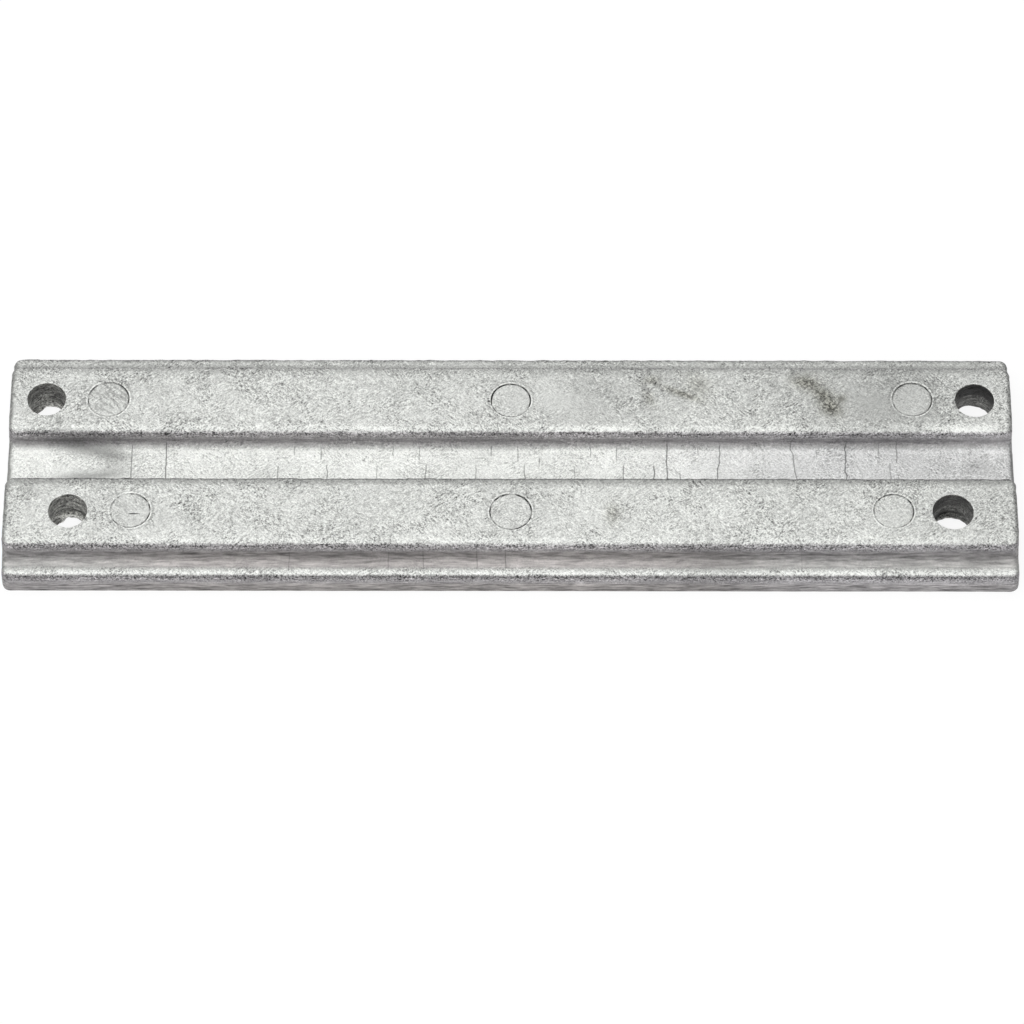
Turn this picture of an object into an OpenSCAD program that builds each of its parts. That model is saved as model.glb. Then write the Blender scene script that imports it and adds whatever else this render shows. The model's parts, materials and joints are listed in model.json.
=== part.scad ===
// Cast bar anode: a drafted base plate with two ridges, a groove between them and a ledge down
// each long side. X runs along the bar, Y across it, and the flat underside lies at Z = 0.

/* [Base plate] */
// Length over the dressed ends, at the underside
body_l = 210; // [150:1:400]
// Thickness of the plate under the groove and the ledges
base_t = 5.5; // [4:0.1:12]
// Ledge outside each ridge, from the ridge's top edge to the plate's side at the underside
ledge_w = 5.1; // [4:0.1:15]
// Radius of the plate's upright corners, at the underside
body_corner_r = 2; // [1.8:0.1:4]

/* [Ridges] */
// Height of both ridges above the plate
ridge_h = 4.3; // [3:0.1:12]
// Width of each ridge across its top
ridge_w = 16.6; // [13:0.1:30]
// Width of the groove between the ridges, at their tops
groove_w = 11; // [6:0.1:40]
// Radius of each ridge's upright corners, at its top
ridge_corner_r = 1.6; // [1.6:0.1:4]

/* [Casting] */
// Draft of every upright wall, in degrees
draft = 2; // [1:0.5:4]
// Round along the top edges of the plate and the ridges
edge_r = 0.8; // [0.3:0.1:0.8]
// Fillet at the foot of a ridge, on its groove side
groove_fillet_r = 1.3; // [0.5:0.1:2]
// Fillet at the foot of a ridge, on its ledge side
ledge_fillet_r = 2.8; // [0.5:0.1:3]
// Depth of metal dressed off each cast end
end_dress = 0.1; // [0.05:0.05:0.2]

/* [Bolt holes] */
// Diameter of the four bolt holes
hole_d = 8; // [5:0.1:11]
// Centre of each far-row hole from the nearer end
far_hole_inset = 8; // [7:0.1:30]
// Centre of each near-row hole from the nearer end
near_hole_inset = 13.7; // [7:0.1:30]
// Depth and width of the flare where each hole opens at the underside
back_flare = 1.5; // [0.5:0.1:2]

/* [Ejector-pin marks] */
// Diameter over each mark
mark_d = 8.8; // [5:0.1:11]
// Centre of an end mark from its far-row hole
far_mark_gap = 13.2; // [12:0.1:40]
// Centre of an end mark from its near-row hole
near_mark_gap = 12.7; // [12:0.1:40]
// Depth of the disc that the pin leaves
mark_sink = 0.1; // [0.05:0.05:0.3]
// Width of the ring groove round the disc
ring_w = 0.4; // [0.2:0.1:0.8]
// Depth of the ring groove
ring_depth = 0.25; // [0.1:0.05:0.5]

/* [Hidden] */
$fn = 64;
metal_grey = [0.76, 0.77, 0.76];
lap = 1;         // what one solid reaches into or past another, so that they join or cut cleanly
arc_bite = 0.001; // an arc stands this far into its drafted wall, so that the two cross cleanly
strip_min = 0.3; // least strip of a wall or a ledge that a fillet leaves
top_z = base_t + ridge_h;
body_w = groove_w + 2 * ridge_w + 2 * ledge_w;
row_y = (groove_w + ridge_w) / 2;

// Places are worked to a hundredth of a millimetre, as on a drawing.
function mm(v) = round(v * 100) / 100;

// How far a drafted wall leans in over a height h.
function lean(h) = h * tan(draft);

// Distance from a corner between a level face and a drafted wall to where a round of radius r begins.
function run(r) = r * tan(45 - draft / 2);

// The point of an arc of radius r about c at which its drafted wall leaves it.
function on_wall(c, r) = c + r * [cos(draft), sin(draft)];

// Edge profiles lie in the plane (distance out from a corner's axis, height). The wall of a
// convex edge stands top_r out from the axis at its top, at height z1.

// Centre of the round on such an edge.
function round_centre(top_r, z1) = [top_r - run(edge_r) + arc_bite, z1 - edge_r];

// Quarter disc that rounds the edge.
module edge_round(top_r, z1) {
    translate(round_centre(top_r, z1)) intersection() {
        circle(r = edge_r);
        translate([0, -edge_r]) square(2 * edge_r);
    }
}

// Drafted wall from z0 up to z1, rounded at the top and square at the foot.
module plain_edge(top_r, z0, z1) {
    c = round_centre(top_r, z1);
    polygon([[0, z0], [top_r + lean(z1 - z0), z0],
             on_wall(c - [arc_bite, 0], edge_r), [c.x, z1], [0, z1]]);
    edge_round(top_r, z1);
}

// The same wall with a fillet at its foot, which stands on the plate at base_t.
module filleted_edge(top_r, z1, fillet_r) {
    c = round_centre(top_r, z1);
    r = min(fillet_r, z1 - base_t - edge_r - strip_min);
    foot = top_r + lean(z1 - base_t);
    f = [foot + run(r) - arc_bite, base_t + r];
    difference() {
        union() {
            polygon([[0, base_t - lap], [f.x, base_t - lap], [f.x, base_t],
                     f + [arc_bite, 0] - r * [cos(draft), sin(draft)],
                     on_wall(c - [arc_bite, 0], edge_r), [c.x, z1], [0, z1]]);
            edge_round(top_r, z1);
        }
        translate(f) circle(r = r);
    }
}

// Sweeps the edge profile along the +Y side of a block and round that side's two corners.
// axis_l is the distance between the corners' axes.
module long_side(axis_l) {
    rotate([90, 0, 90]) linear_extrude(axis_l, center = true) children();
    for (turn = [0, 90]) translate([cos(2 * turn) * axis_l / 2, 0, 0]) rotate(turn)
        rotate_extrude(angle = 90) children();
}

// A block whose corners' axes stand axis_l by axis_w apart. children(0) is the edge profile of
// its +Y side, children(1) that of its -Y side, and children(2) that of its two ends.
module moulded_block(axis_l, axis_w, z0, z1) {
    translate([0, axis_w / 2, 0]) long_side(axis_l) children(0);
    mirror([0, 1, 0]) translate([0, axis_w / 2, 0]) long_side(axis_l) children(1);
    rotate([90, 0, 0]) linear_extrude(axis_w, center = true) {
        for (side = [0, 1]) mirror([side, 0]) translate([axis_l / 2, 0]) children(2);
        translate([-axis_l / 2, z0]) square([axis_l, z1 - z0]);
    }
}

// Base plate, longer than the finished bar by what is dressed off its ends.
module base_plate() {
    top_r = body_corner_r - lean(base_t);
    moulded_block(mm(body_l + 2 * end_dress - 2 * body_corner_r), mm(body_w - 2 * body_corner_r), 0, base_t) {
        plain_edge(top_r, 0, base_t);
        plain_edge(top_r, 0, base_t);
        plain_edge(top_r, 0, base_t);
    }
}

// Far ridge, with its ledge side towards +Y. Its cast ends run level with those of the plate.
module ridge() {
    axis_l = mm(body_l + 2 * end_dress - 2 * lean(top_z) - 2 * ridge_corner_r);
    ledge_flat = ledge_w - lean(top_z) - run(edge_r);
    translate([0, row_y, 0]) moulded_block(axis_l, mm(ridge_w - 2 * ridge_corner_r), base_t - lap, top_z) {
        filleted_edge(ridge_corner_r, top_z, min(ledge_fillet_r, ledge_flat - strip_min));
        filleted_edge(ridge_corner_r, top_z, min(groove_fillet_r, groove_w / 2 - lean(ridge_h)));
        plain_edge(ridge_corner_r, base_t - lap, top_z);
    }
}

// What the casting is dressed to: two ends, drafted as the rest.
module dressed_length() {
    h = top_z + lap;
    rotate([90, 0, 0]) linear_extrude(body_w + 2 * lap, center = true)
        polygon([[-body_l / 2, 0], [body_l / 2, 0],
                 [body_l / 2 - lean(h), h], [-body_l / 2 + lean(h), h]]);
}

// One bolt hole through the whole height, flared at 45 degrees where it opens at the underside.
module bolt_hole() {
    r = hole_d / 2;
    rotate_extrude()
        polygon([[0, -lap], [r + back_flare + lap, -lap], [r, back_flare],
                 [r, top_z + lap], [0, top_z + lap]]);
}

// Ejector-pin mark: a sunk disc with a ring groove round it.
module pin_mark() {
    r = mark_d / 2;
    translate([0, 0, top_z]) rotate_extrude()
        polygon([[0, lap], [0, -mark_sink], [r - ring_w, -mark_sink], [r - ring_w / 2, -ring_depth],
                 [r, 0], [r + ring_w, lap]]);
}

// Holes and marks of one row, for holes that lie inset from the ends.
module row_of_cuts(y, inset, mark_gap) {
    hole_x = body_l / 2 - inset;
    for (x = [-hole_x, hole_x]) translate([x, y, 0]) bolt_hole();
    for (x = (hole_x - mark_gap) * [-1, 0, 1]) translate([x, y, 0]) pin_mark();
}

module anode_casting() {
    color(metal_grey) difference() {
        intersection() {
            union() {
                base_plate();
                ridge();
                mirror([0, 1, 0]) ridge();
            }
            dressed_length();
        }
        row_of_cuts(row_y, far_hole_inset, far_mark_gap);
        row_of_cuts(-row_y, near_hole_inset, near_mark_gap);
    }
}

anode_casting();
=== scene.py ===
"""Looks of a cast bar anode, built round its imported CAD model.

The bar is one casting, so it is one piece. Its skin is its cross-section carried along it, with pin marks
and bolt holes let in, and two end faces and an underside close it. Its maker's sizes are in millimetres here
and become metres where the mesh is made. X runs along the bar, Y across it and Z up through its ridges.
"""

import json
import logging
import math
from dataclasses import dataclass, field
from enum import Enum

import bpy
import numpy as np
from mathutils import Matrix, Vector
from mathutils.geometry import delaunay_2d_cdt


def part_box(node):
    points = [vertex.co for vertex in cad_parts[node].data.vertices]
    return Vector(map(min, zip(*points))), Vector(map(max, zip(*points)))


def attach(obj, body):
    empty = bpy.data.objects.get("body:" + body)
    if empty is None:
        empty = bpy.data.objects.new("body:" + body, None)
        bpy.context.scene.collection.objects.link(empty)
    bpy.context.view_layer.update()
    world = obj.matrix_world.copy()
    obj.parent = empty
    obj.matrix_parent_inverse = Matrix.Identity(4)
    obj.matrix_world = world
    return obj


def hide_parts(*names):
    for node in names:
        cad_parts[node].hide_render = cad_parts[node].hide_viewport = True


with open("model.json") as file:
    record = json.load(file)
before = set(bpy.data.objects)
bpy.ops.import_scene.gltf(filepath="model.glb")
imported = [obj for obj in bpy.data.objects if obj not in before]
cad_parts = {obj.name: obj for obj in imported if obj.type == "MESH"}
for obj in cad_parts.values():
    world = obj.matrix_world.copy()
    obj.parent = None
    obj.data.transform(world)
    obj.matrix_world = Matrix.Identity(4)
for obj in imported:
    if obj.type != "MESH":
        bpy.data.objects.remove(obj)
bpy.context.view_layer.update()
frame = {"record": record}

MM = 0.001
NODE = "anode_casting"
UP = np.array([0.0, 0.0, 1.0])
LATTICE = 256  # how many slopes a noise field picks from, a power of two
BEND = 1e-4  # how much fill_between bends the plane
PITCH = 20.57  # spacing of the marks that repeat along the groove
log = logging.getLogger("anode")


def smooth_step(low: float, high: float, value: np.ndarray) -> np.ndarray:
    """Rises from 0 at low to 1 at high along 3t^2 - 2t^3.

    Args:
        low: Where the rise begins, above high for a fall.
        high: Where it ends.
        value: What is tested.

    Returns:
        Shares from 0 to 1, one for each value.
    """
    t = np.clip((value - low) / (high - low), 0.0, 1.0)
    return t * t * (3.0 - 2.0 * t)


def facing(turn: np.ndarray, middle: float, reach: float) -> np.ndarray:
    """How nearly each angle points at a middle in degrees: 1 within half of the reach, 0 past the reach."""
    away = np.abs((turn - math.radians(middle) + math.pi) % math.tau - math.pi)
    return smooth_step(reach, 0.5 * reach, away)


@dataclass(frozen=True)
class LatticeNoise:
    """A smooth random field in space, which its seed fixes.

    Its hills are about one grain across, in millimetres. Places are multiplied by the stretch first, so the
    hills are longer along an axis whose number is below 1.
    """

    seed: int
    grain: float
    height: float = 1.0
    stretch: tuple[float, float, float] = (1.0, 1.0, 1.0)

    def at(self, places: np.ndarray) -> np.ndarray:
        """Height of the field.

        Each corner of the cell round a place has a random slope, which is multiplied by the way from the
        corner to the place. The eight products are blended by 6t^5 - 15t^4 + 10t^3 along each axis.

        Args:
            places: Points in millimetres, with x, y and z along the last axis.

        Returns:
            Heights between about plus and minus the field's height, one for each place.
        """
        rng = np.random.default_rng(self.seed)
        shuffled = rng.permutation(LATTICE)
        slopes = rng.normal(size=(LATTICE, 3))
        slopes /= np.linalg.norm(slopes, axis=1, keepdims=True)
        cells = places * np.array(self.stretch) / self.grain
        cell = np.floor(cells).astype(int)
        t = cells - cell
        ease = t**3 * (t * (6.0 * t - 15.0) + 10.0)
        total = np.zeros(places.shape[:-1])
        for corner in np.ndindex(2, 2, 2):
            key = np.zeros(places.shape[:-1], int)
            for axis in range(3):
                key = shuffled[(key + cell[..., axis] + corner[axis]) % LATTICE]
            share = np.prod(np.where(corner, ease, 1.0 - ease), axis=-1)
            total += share * np.sum(slopes[key] * (t - corner), axis=-1)
        return 1.6 * self.height * total


class Row(Enum):
    """The two ridges, each with its row of holes and marks."""

    FAR = 1
    NEAR = -1


class End(Enum):
    """The two ends of the bar."""

    LEFT = -1
    RIGHT = 1


def put_in_scene(name: str, data: bpy.types.ID) -> bpy.types.Object:
    """Makes an object and links it to the scene.

    Args:
        name: Name of the object.
        data: Its mesh, light or camera.

    Returns:
        The object, at the origin.
    """
    made = bpy.data.objects.new(name, data)
    bpy.context.scene.collection.objects.link(made)
    return made


class PatchMesh:
    """Vertices, faces and masks of one mesh, gathered patch by patch.

    Patches share the vertices that lie between them.
    """

    def __init__(self) -> None:
        """Starts with nothing in it."""
        self.count = 0
        self._places: list[np.ndarray] = []
        self._normals: list[np.ndarray] = []
        self._masks: dict[str, list[np.ndarray]] = {}
        self._faces: list[np.ndarray] = []

    def add(self, places: np.ndarray, normals: np.ndarray, **masks: np.ndarray | float) -> np.ndarray:
        """Adds a patch's vertices.

        Args:
            places: Points in millimetres, with x, y and z along the last axis.
            normals: The way out of the metal at each, of length 1.
            **masks: Shares by name, each one number or one for each point. A mask that isn't given is 0.

        Returns:
            The vertices' numbers, in the same grid as the points.
        """
        grid = places.shape[:-1]
        number = np.arange(self.count, self.count + math.prod(grid)).reshape(grid)
        for name in masks:
            self._masks.setdefault(name, [np.zeros(self.count)])
        self._places.append(places.reshape(-1, 3))
        self._normals.append(np.broadcast_to(normals, places.shape).reshape(-1, 3))
        for name, parts in self._masks.items():
            parts.append(np.broadcast_to(masks.get(name, 0.0), grid).reshape(-1).astype(float))
        self.count += number.size
        return number

    def quads(self, grid: np.ndarray, closed: bool = False, keep: np.ndarray | None = None) -> None:
        """Adds the cells of a grid of vertices as faces.

        Args:
            grid: Vertex numbers. Seen from outside, the columns' way turns anticlockwise from the rows' way.
            closed: Whether the last column joins the first.
            keep: Which cells to add, or all of them if it isn't given.
        """
        if closed:
            grid = np.concatenate([grid, grid[:, :1]], axis=1)
        cells = np.stack([grid[:-1, :-1], grid[1:, :-1], grid[1:, 1:], grid[:-1, 1:]], axis=-1)
        self._faces.append(cells.reshape(-1, 4) if keep is None else cells[keep])

    def triangles(self, corners: np.ndarray) -> None:
        """Adds triangles, given as rows of three vertex numbers."""
        self._faces.append(np.concatenate([corners, corners[:, -1:]], axis=1))

    @property
    def places(self) -> np.ndarray:
        """All points so far, in millimetres."""
        return np.concatenate(self._places)

    @property
    def normals(self) -> np.ndarray:
        """The way out of the metal at each point."""
        return np.concatenate(self._normals)

    def mask(self, name: str) -> np.ndarray:
        """One mask over all points."""
        return np.concatenate(self._masks[name])

    def set_mask(self, name: str, values: np.ndarray) -> None:
        """Gives one mask over all points."""
        self._masks[name] = [values]

    def to_object(self, name: str, places: np.ndarray, crease: float) -> bpy.types.Object:
        """Makes the object.

        Args:
            name: Name of the object.
            places: The points' final places in millimetres.
            crease: Angle in degrees past which an edge is sharp.

        Returns:
            The object, at the origin, with each mask as an attribute of its points.
        """
        faces = np.concatenate(self._faces)
        sides = np.where(faces[:, 2] == faces[:, 3], 3, 4)
        used, corners = np.unique(faces[np.arange(4) < sides[:, None]], return_inverse=True)
        mesh = bpy.data.meshes.new(name)
        mesh.vertices.add(used.size)
        mesh.vertices.foreach_set("co", (places[used] * MM).astype(np.float32).ravel())
        mesh.loops.add(corners.size)
        mesh.loops.foreach_set("vertex_index", corners.astype(np.int32))
        mesh.polygons.add(len(faces))
        mesh.polygons.foreach_set("loop_start", np.cumsum(np.append(0, sides[:-1])).astype(np.int32))
        mesh.polygons.foreach_set("use_smooth", np.ones(len(faces), bool))
        for mask in self._masks:
            layer = mesh.attributes.new(mask, "FLOAT", "POINT")
            layer.data.foreach_set("value", self.mask(mask)[used].astype(np.float32))
        mesh.update(calc_edges=True)
        mesh.set_sharp_from_angle(angle=math.radians(crease))
        return put_in_scene(name, mesh)


def inside(loops: list[np.ndarray], spots: np.ndarray) -> np.ndarray:
    """Whether spots lie inside an odd number of loops: a ray towards +x then crosses an odd number of sides.

    Args:
        loops: Closed loops of points in a plane.
        spots: Points in that plane.

    Returns:
        True or false for each spot.
    """
    crossings = np.zeros(len(spots), int)
    for loop in loops:
        start, end = loop[:, None], np.roll(loop, -1, axis=0)[:, None]
        spans = (start[..., 1] > spots[:, 1]) != (end[..., 1] > spots[:, 1])
        rise = np.where(spans, end[..., 1] - start[..., 1], 1.0)
        meets = start[..., 0] + (spots[:, 1] - start[..., 1]) * (end[..., 0] - start[..., 0]) / rise
        crossings += np.sum(spans & (meets > spots[:, 0]), axis=0)
    return crossings % 2 == 1


def fill_between(loops: list[np.ndarray], spacing: float) -> tuple[np.ndarray, np.ndarray]:
    """Triangles that fill the first loop and leave the others open.

    Inner points stand on a lattice of rows, every other row half a step along, and keep clear of the loops.
    The triangles between all points are those of Delaunay, with the loops' sides kept. For this the plane is
    bent a little, by the square of the other coordinate, so that no three points of a straight side line up.

    Args:
        loops: Closed loops of points in a plane, the outer one first.
        spacing: Distance between inner points.

    Returns:
        The inner points, and anticlockwise rows of three numbers. These count through the loops' points and
        then the inner ones.
    """
    rim = np.concatenate(loops)
    low, high = rim.min(0), rim.max(0)
    across, up = np.meshgrid(np.arange(low[0], high[0], spacing),
                             np.arange(low[1], high[1], spacing * math.sqrt(3.0) / 2.0))
    across = across + spacing / 2.0 * (np.arange(len(across)) % 2)[:, None]
    inner = np.stack([across, up], axis=-1).reshape(-1, 2)
    gap = np.sqrt(((inner[:, None] - rim[None]) ** 2).sum(-1)).min(1)
    inner = inner[(gap > 0.6 * spacing) & inside(loops, inner)]
    sides: list[tuple[int, int]] = []
    for loop in loops:
        number = len(sides) + np.arange(len(loop))
        sides += list(zip(number.tolist(), np.roll(number, -1).tolist()))
    points = np.concatenate([rim, inner])
    bent = points + BEND * points[:, ::-1] ** 2
    faces = delaunay_2d_cdt([Vector(p) for p in bent], sides, [], 0, 1e-9, False)[2]
    corners = np.array(faces)
    bent_loops = [loop + BEND * loop[:, ::-1] ** 2 for loop in loops]
    return inner, corners[inside(bent_loops, bent[corners].mean(1))]


@dataclass
class BoltHole:
    """A cored hole through the bar, a little tapered.

    A shelf of metal stands in it where the core chipped, and a lump of flash over its flare at the back.
    Turns are in degrees, anticlockwise from the way along the bar, and reaches round the hole in radians. A
    pair of heights says where something begins and where it is full.
    """

    row: Row
    x: float
    # paleness of the wall, kept low as painted shade in the deep bore
    tone: float
    wider: float = 0.0
    taper: float = 0.06
    shelf: float = 0.0
    shelf_top: float = 3.4
    shelf_turn: float = 90.0
    shelf_reach: float = 1.3
    shelf_foot: tuple[float, float] = (0.8, 1.7)
    shadow: float = 0.0
    shadow_turn: float = 60.0
    shadow_reach: float = 1.7
    shadow_z: tuple[float, float] = (5.2, 6.2)
    flash: float = 0.0
    flash_turn: float = 150.0
    flash_reach: float = 0.9
    flash_z: tuple[float, float] = (2.2, 1.4)

    def shelf_share(self, turn: np.ndarray, height: np.ndarray) -> np.ndarray:
        """How far the shelf stands out, as the product of a rise, a fall and a share round the hole.

        Args:
            turn: Angles round the hole.
            height: Heights over the bar's foot.

        Returns:
            Shares from 0 to 1, one for each angle and height.
        """
        under_top = smooth_step(self.shelf_top, self.shelf_top - 0.5, height)
        over_foot = smooth_step(*self.shelf_foot, height)
        return under_top * over_foot * facing(turn, self.shelf_turn, self.shelf_reach)

    def flash_share(self, turn: np.ndarray, height: np.ndarray) -> np.ndarray:
        """How far the flash stands out at each angle and height, from 0 to 1."""
        return smooth_step(*self.flash_z, height) * facing(turn, self.flash_turn, self.flash_reach)

    def tones_and_shade(self, turn: np.ndarray, spots: np.ndarray) -> np.ndarray:
        """How pale the wall is painted: blotched, on a low paleness that stands for shade in the deep bore,
        with a painted highlight on the shelf and painted shadow just above it and on its shadowed side.

        Args:
            turn: Angle of each spoke round the hole.
            spots: Points of the wall in millimetres, by row and spoke.

        Returns:
            Shares of white, one for each point.
        """
        height = spots[..., 2]
        shelf = self.shelf_share(turn, height)
        shadow = smooth_step(*self.shadow_z, height) * facing(turn, self.shadow_turn, self.shadow_reach)
        above = np.exp(-(((height - self.shelf_top - 0.3) / 0.5) ** 2))
        above *= facing(turn, self.shelf_turn, self.shelf_reach + 0.1)
        blotched = LatticeNoise(31, 2.2, 0.45, (1.0, 1.0, 1.6)).at(spots)
        blotched += LatticeNoise(32, 0.9, 0.3).at(spots)
        # Painted light and shade: darker on the shadowed side and just above the shelf, paler on the shelf
        share = self.tone * (1.0 - self.shadow * shadow) * (1.0 + 1.6 * self.shelf * shelf)
        return share * (1.0 + blotched) * (1.0 - 1.5 * self.shelf * above * (1.0 - shelf))


@dataclass
class PinMark:
    """A disc that an ejector pin left, with a ring groove round it and a thin burr outside the groove.

    The burr is strongest at its turn, in degrees anticlockwise from the way along the bar.
    """

    row: Row
    x: float
    y_shift: float = 0.0
    radius: float = 4.1
    sink: float = 0.06
    groove: float = 0.24
    burr: float = 0.06
    burr_turn: float = 30.0
    darkness: float = 1.0
    scuffed: float = 0.0


@dataclass
class HeatLine:
    """A hair-thin line across the metal, which a crack in the die's face left."""

    x: float
    y_low: float
    y_high: float
    force: float = 1.0
    wander: float = 0.2
    lean: float = 0.0


@dataclass
class Scratch:
    """A short thin line along the bar."""

    x_low: float
    x_high: float
    y: float
    force: float = 1.0


@dataclass
class Blotch:
    """A soft-edged patch on the metal: its middle, its half sizes, its force, and its turn in degrees."""

    x: float
    y: float
    half_x: float
    half_y: float
    force: float = 1.0
    turn: float = 0.0

    def share(self, places: np.ndarray) -> np.ndarray:
        """Falls off from the middle as exp(-distance squared), with distances counted in half sizes.

        Args:
            places: Points in millimetres, of which x and y count.

        Returns:
            The force times the fall-off, one for each place.
        """
        turn = math.radians(self.turn)
        dx, dy = places[..., 0] - self.x, places[..., 1] - self.y
        along = (dx * math.cos(turn) + dy * math.sin(turn)) / self.half_x
        across = (dy * math.cos(turn) - dx * math.sin(turn)) / self.half_y
        return self.force * np.exp(-(along**2) - across**2)


@dataclass
class ShadingBand:
    """A strip all along the bar that is painted paler or darker: painted shade or a painted highlight.

    It is placed by its middle in the cross-section and by how far it reaches.
    """

    y: float
    z: float
    reach: float
    change: float

    def share(self, places: np.ndarray) -> np.ndarray:
        """Falls off from the strip's middle as exp(-distance squared), with distances counted in reaches."""
        gap = np.hypot(places[..., 1] - self.y, places[..., 2] - self.z)
        return self.change * np.exp(-((gap / self.reach) ** 2))


def summed(patches: list[Blotch] | list[ShadingBand], places: np.ndarray) -> np.ndarray:
    """Sum of the patches' shares at each place."""
    return sum(patch.share(places) for patch in patches)


def covered(patches: list[Blotch], places: np.ndarray) -> np.ndarray:
    """How far the patches cover each place, from 0 to 1."""
    return np.clip(summed(patches, places), 0.0, 1.0)


@dataclass(frozen=True)
class TonesAndShade:
    """How pale the metal is painted, from 0 to 1, on each kind of surface, with painted shade on the walls,
    sides and ends, and where it strays from that.
    """

    top: float
    groove: float
    ledge: float
    # Walls, sides and ends below are painted darker than the level faces: painted shade
    inner_wall: float
    outer_wall: float
    side: float
    end: float
    under: float
    shading_bands: list[ShadingBand]
    patches: list[Blotch]


@dataclass
class BarCasting:
    """The bar: its sizes in millimetres, and the methods that build its skin, ends and underside."""

    low: np.ndarray
    high: np.ndarray
    row_y: float
    hole_r: float
    holes: list[BoltHole]
    marks: list[PinMark]
    groove_lines: list[HeatLine]
    ledge_lines: list[HeatLine]
    scratches: list[Scratch]
    nodules: list[Blotch]
    beads: list[Blotch]
    stains: list[Blotch]
    worn: list[Blotch]
    chips: list[Blotch]
    tones_and_shade: TonesAndShade
    base_t: float = 5.5
    ledge_w: float = 5.1
    draft: float = 2.0
    edge_r: float = 0.8
    groove_fillet_r: float = 1.3
    ledge_fillet_r: float = 2.8
    corner_r: float = 1.9
    end_edge_r: float = 0.7
    end_lean_way: float = 5.0  # way in from an end over which the sections turn upright
    end_strip: tuple[float, float] = (1.2, 2.5)  # least and greatest width of the rough strip at an end, painted dark as the shade of the rounded end edge
    back_flare: float = 1.5
    mouth_ring: float = 0.3  # width of the underside's ring round a hole
    lip_r: float = 0.16  # round where a hole opens at the top
    window_gap: float = 1.3  # from a hole or a mark to the rim of its window in the skin
    hole_spread: int = 3  # rows between a hole and its window's rim
    mark_spread: int = 2  # the same for a mark
    dull_foot_y: tuple[float, float] = (25.3, 24.5)  # where the near ridge's dull foot begins and is full
    dull_foot_z: tuple[float, float] = (7.9, 7.1)
    dull_side_z: tuple[float, float] = (3.3, 2.5)
    torn_way: tuple[float, float] = (2.3, 0.7)  # way from an edge where torn metal begins and is full
    skin_depth: float = 0.03  # how far the cast skin lies inside the box, so that it can swell
    crown: float = 0.08  # drop of a level face at its edges
    crown_way: tuple[float, float] = (2.1, 0.8)  # way from an edge where that drop begins and is full
    chip_depth: float = 0.5
    stain_depth: float = 0.05
    nodule_height: float = 0.2
    station_step: float = 0.48  # distance between sections
    level_step: float = 0.58  # distance between points along a straight side of the section
    arc_step: float = 0.24  # the same along a round
    lip_points: int = 4
    flare_points: int = 6
    bore_points: int = 22
    foot_points: int = 40  # along the foot of an end face
    end_spacing: float = 0.9  # between the points inside an end face
    under_spacing: float = 2.4  # the same in the underside
    crease: float = 50.0  # angle in degrees past which an edge is sharp
    line_fade: float = 0.4  # half of the stretch over which a heat line's end fades
    scratch_fade: float = 0.5  # the same for a scratch
    mesh: PatchMesh = field(default_factory=PatchMesh)

    @property
    def side(self) -> float:
        """Half of the bar's width at its foot."""
        return float(self.high[1])

    @property
    def end_x(self) -> float:
        """Half of the bar's length at its foot."""
        return float(self.high[0])

    @property
    def top_z(self) -> float:
        """Height of the ridges' tops."""
        return float(self.high[2])

    @property
    def ridge_out_y(self) -> float:
        """Edge of a ridge's top on its ledge."""
        return self.side - self.ledge_w

    @property
    def ridge_in_y(self) -> float:
        """Edge of a ridge's top on the groove."""
        return 2.0 * self.row_y - self.ridge_out_y

    def lean(self, height: np.ndarray | float) -> np.ndarray | float:
        """How far a drafted wall leans in over a height."""
        return height * math.tan(math.radians(self.draft))

    def section(self) -> tuple[np.ndarray, np.ndarray]:
        """The bar's cross-section, from the near foot over both ridges to the far foot.

        Its corners stand where level faces and drafted walls meet. Each is rounded by the arc of its radius
        that touches both sides, and the sides and arcs are stepped evenly.

        Returns:
            Points (y, z) and the unit normals that point out of the metal.
        """
        ridge_h = self.top_z - self.base_t
        half = np.array([
            [self.side, 0.0, 0.0],
            [self.side - self.lean(self.base_t), self.base_t, self.edge_r],
            [self.ridge_out_y + self.lean(ridge_h), self.base_t, self.ledge_fillet_r],
            [self.ridge_out_y, self.top_z, self.edge_r],
            [self.ridge_in_y, self.top_z, self.edge_r],
            [self.ridge_in_y - self.lean(ridge_h), self.base_t, self.groove_fillet_r],
        ])
        corners = np.concatenate([half * [-1.0, 1.0, 1.0], half[::-1]])
        points = [corners[:1, :2]]
        for before, corner, after in zip(corners[:-2], corners[1:-1], corners[2:]):
            there = (corner[:2] - before[:2]) / np.linalg.norm(corner[:2] - before[:2])
            onward = (after[:2] - corner[:2]) / np.linalg.norm(after[:2] - corner[:2])
            turn = math.atan2(there[0] * onward[1] - there[1] * onward[0], there @ onward)
            start = corner[:2] - there * corner[2] * math.tan(abs(turn) / 2.0)
            spoke = np.array([there[1], -there[0]]) * math.copysign(corner[2], turn)
            steps = max(4, round(abs(turn) * corner[2] / self.arc_step))
            angle = turn * np.linspace(0.0, 1.0, steps + 1)[:, None]
            swung = spoke * np.cos(angle) + np.array([-spoke[1], spoke[0]]) * np.sin(angle)
            arc = start - spoke + swung
            points += [self._side_points(points[-1][-1], start)[1:-1], arc]
        points.append(self._side_points(points[-1][-1], corners[-1, :2])[1:])
        path = np.concatenate(points)
        along = np.gradient(path, axis=0)
        normals = np.stack([-along[:, 1], along[:, 0]], axis=1)
        return path, normals / np.linalg.norm(normals, axis=1, keepdims=True)

    def _side_points(self, start: np.ndarray, end: np.ndarray) -> np.ndarray:
        """Evenly stepped points of a straight side."""
        steps = max(2, round(np.linalg.norm(end - start) / self.level_step))
        return start + (end - start) * np.linspace(0.0, 1.0, steps + 1)[:, None]

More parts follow.
